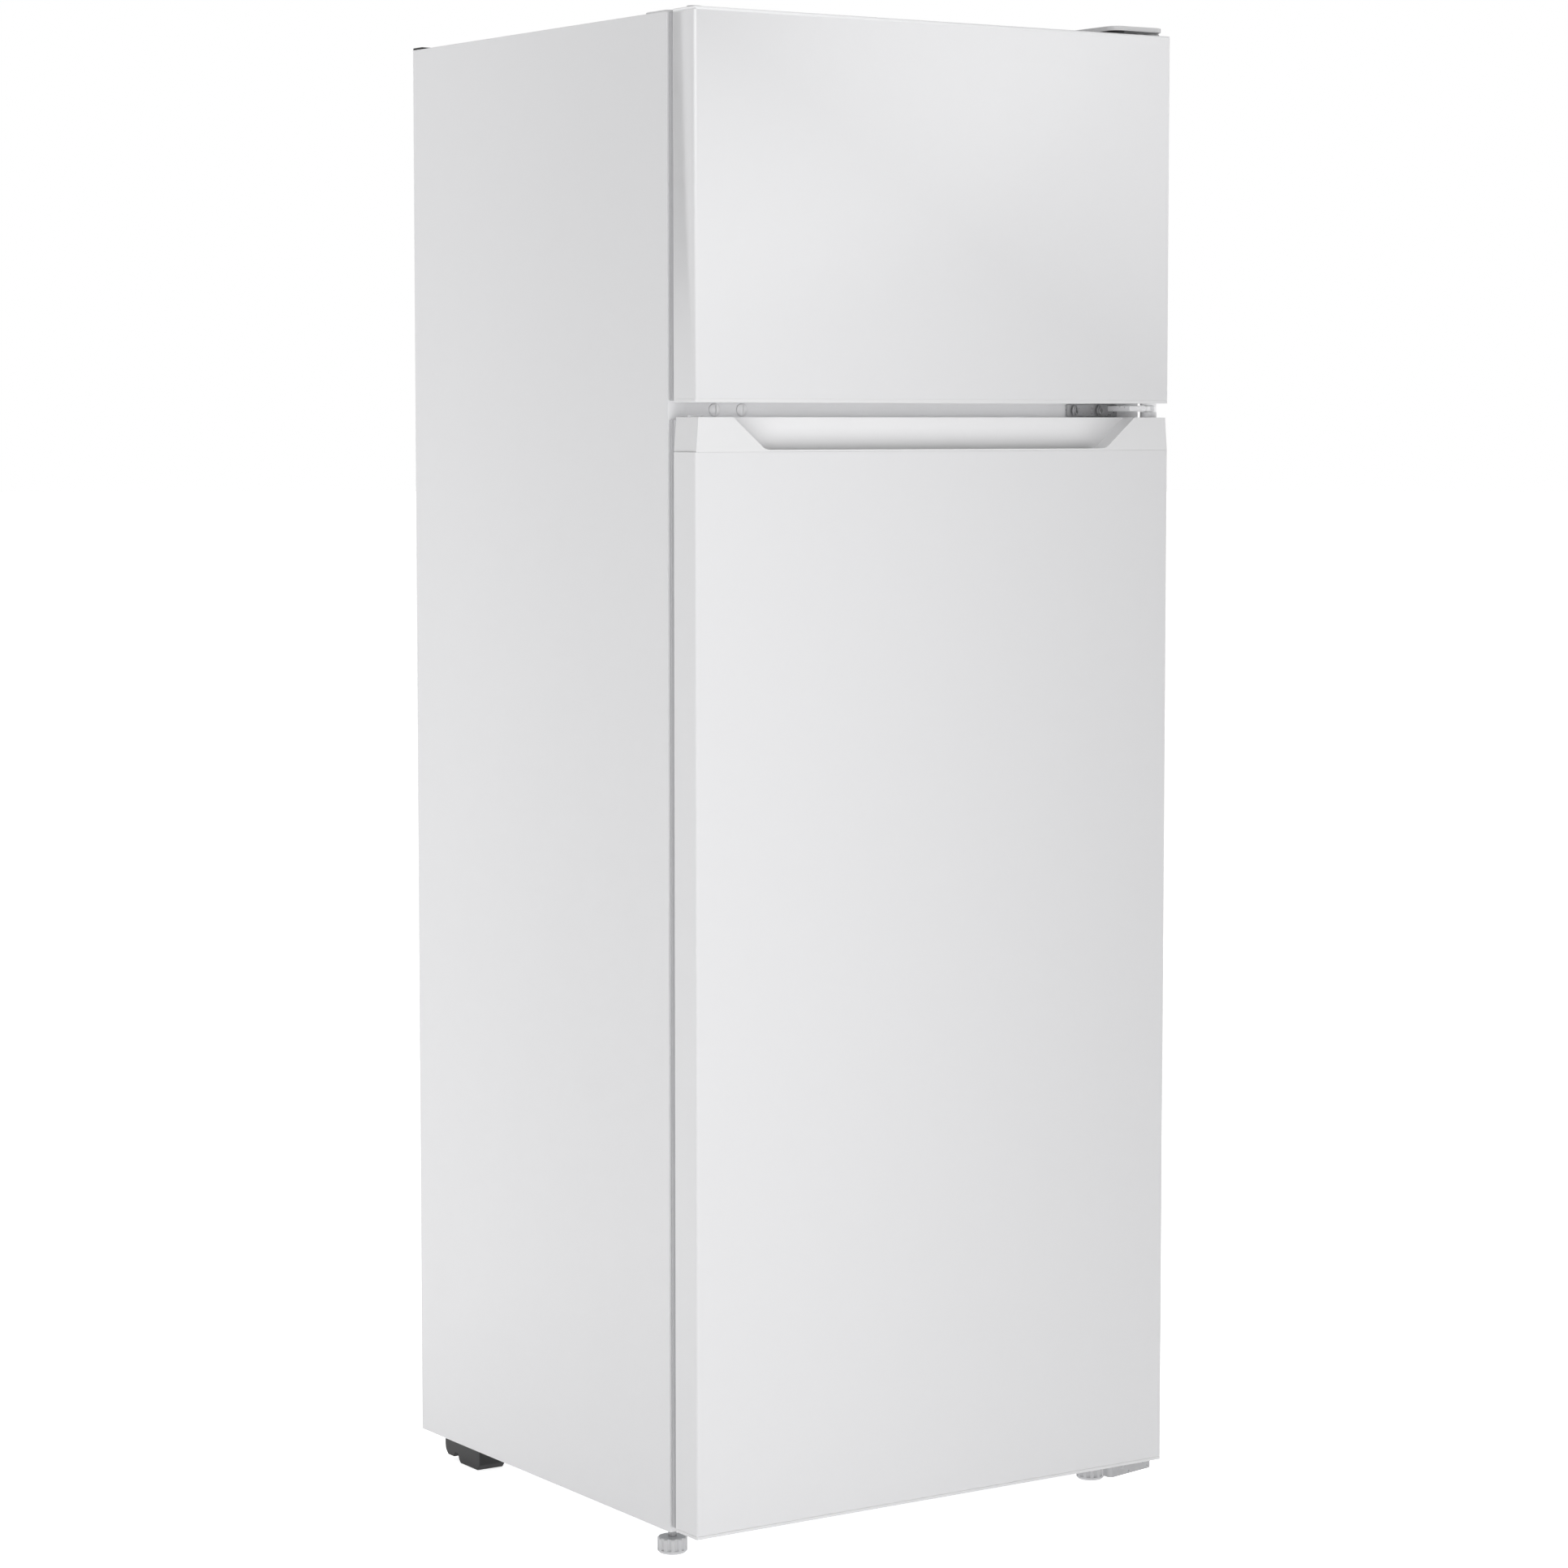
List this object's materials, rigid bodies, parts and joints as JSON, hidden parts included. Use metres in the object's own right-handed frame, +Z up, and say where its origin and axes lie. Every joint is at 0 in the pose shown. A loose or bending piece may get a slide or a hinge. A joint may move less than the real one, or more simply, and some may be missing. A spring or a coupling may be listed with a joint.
{
  "type": "top freezer refrigerator",
  "caption": "Free-standing refrigerator with a freezer above a fridge compartment, two right-hinged doors, a hand recess between them, levelling feet and a rear condenser.",
  "frame": {"origin": "on the floor, below the middle of the overall width and depth", "axes": "+Z up, -Y to the front of the doors, +X to the hinge side"},
  "size_m": [0.545, 0.555, 1.44],
  "materials": {
    "painted_steel": "satin",
    "white_plastic": "satin",
    "liner_plastic": "gloss",
    "foot_plastic": "satin",
    "grey_plastic": "satin",
    "gasket": "matte",
    "zinc_steel": "satin",
    "galvanised": "satin",
    "black_paint": "satin",
    "black_plastic": "matte",
    "black_rubber": "matte",
    "copper": "satin",
    "aluminium": "satin",
    "insulation": "matte",
    "clear_plastic": "gloss",
    "frosted_plastic": "satin",
    "shelf_glass": "gloss",
    "bulb_glass": "gloss"
  },
  "bodies": {
    "cabinet": {"side_panel_left": "painted_steel", "side_panel_right": "painted_steel", "top_panel": "painted_steel", "back_panel": "painted_steel", "base_pan": "galvanised", "compressor_deck": "galvanised", "freezer_foam": "insulation", "fridge_foam": "insulation", "freezer_liner": "liner_plastic", "fridge_liner": "liner_plastic", "mid_rail": "painted_steel", "rail_plugs": "white_plastic", "mid_hinge": "zinc_steel", "top_hinge": "zinc_steel", "bottom_hinge": "zinc_steel", "hinge_screws": "zinc_steel", "top_hinge_cover": "white_plastic", "top_corner_cover": "white_plastic", "rear_top_trim": "black_plastic", "compressor_rail": "galvanised", "rear_feet": "black_plastic", "compressor": "black_paint", "compressor_grommets": "black_rubber", "relay_cover": "black_plastic", "drip_tray": "black_plastic", "condenser_tube": "black_paint", "condenser_wires": "black_paint", "condenser_brackets": "white_plastic", "filter_drier": "copper", "copper_lines": "copper", "cord_gland": "black_rubber", "evaporator": "aluminium", "drain_tube": "grey_plastic", "control_box": "white_plastic", "lamp_cover": "frosted_plastic", "lamp_bulb": "bulb_glass", "freezer_shelf": "white_plastic", "glass_shelves": "shelf_glass", "crisper_cover": "shelf_glass", "shelf_trims": "white_plastic"},
    "freezer_door": {"freezer_door_skin": "painted_steel", "freezer_door_foam": "insulation", "freezer_door_liner": "liner_plastic", "freezer_door_top_cap": "white_plastic", "freezer_door_bottom_cap": "white_plastic", "freezer_door_gasket": "gasket", "freezer_door_racks": "clear_plastic", "freezer_door_plug": "white_plastic"},
    "fridge_door": {"fridge_door_skin": "painted_steel", "fridge_door_foam": "insulation", "fridge_door_liner": "liner_plastic", "fridge_door_bottom_cap": "white_plastic", "fridge_door_gasket": "gasket", "fridge_door_racks": "clear_plastic", "fridge_door_plug": "white_plastic", "handle_trim": "white_plastic", "bottle_rack": "clear_plastic"},
    "crisper": {"crisper_drawer": "clear_plastic"},
    "thermostat": {"thermostat_knob": "grey_plastic"},
    "left_foot": {"foot_left": "foot_plastic"},
    "right_foot": {"foot_right": "foot_plastic"}
  },
  "joints": [
    {"name": "freezer_door_hinge", "type": "hinge", "parent": "cabinet", "child": "freezer_door", "pos_m": [0.262, -0.26, 1.25], "axis": [0, 0, 1], "range_deg": [0, 130]},
    {"name": "fridge_door_hinge", "type": "hinge", "parent": "cabinet", "child": "fridge_door", "pos_m": [0.262, -0.26, 0.55], "axis": [0, 0, 1], "range_deg": [0, 130]},
    {"name": "crisper_slide", "type": "slide", "parent": "cabinet", "child": "crisper", "axis": [0, -1, 0], "range_m": [0, 0.15]},
    {"name": "thermostat_turn", "type": "hinge", "parent": "cabinet", "child": "thermostat", "pos_m": [-0.055, -0.1375, 1.02425], "axis": [0, -1, 0], "range_deg": [0, 300]},
    {"name": "left_foot_turn", "type": "hinge", "parent": "cabinet", "child": "left_foot", "pos_m": [-0.248, -0.1955, 0], "axis": [0, 0, 1], "continuous": true},
    {"name": "right_foot_turn", "type": "hinge", "parent": "cabinet", "child": "right_foot", "pos_m": [0.248, -0.1955, 0], "axis": [0, 0, 1], "continuous": true}
  ],
  "couplings": [
    {"joint": "crisper_slide", "follows": "fridge_door_hinge", "m_per_rad": 0.06611}
  ]
}
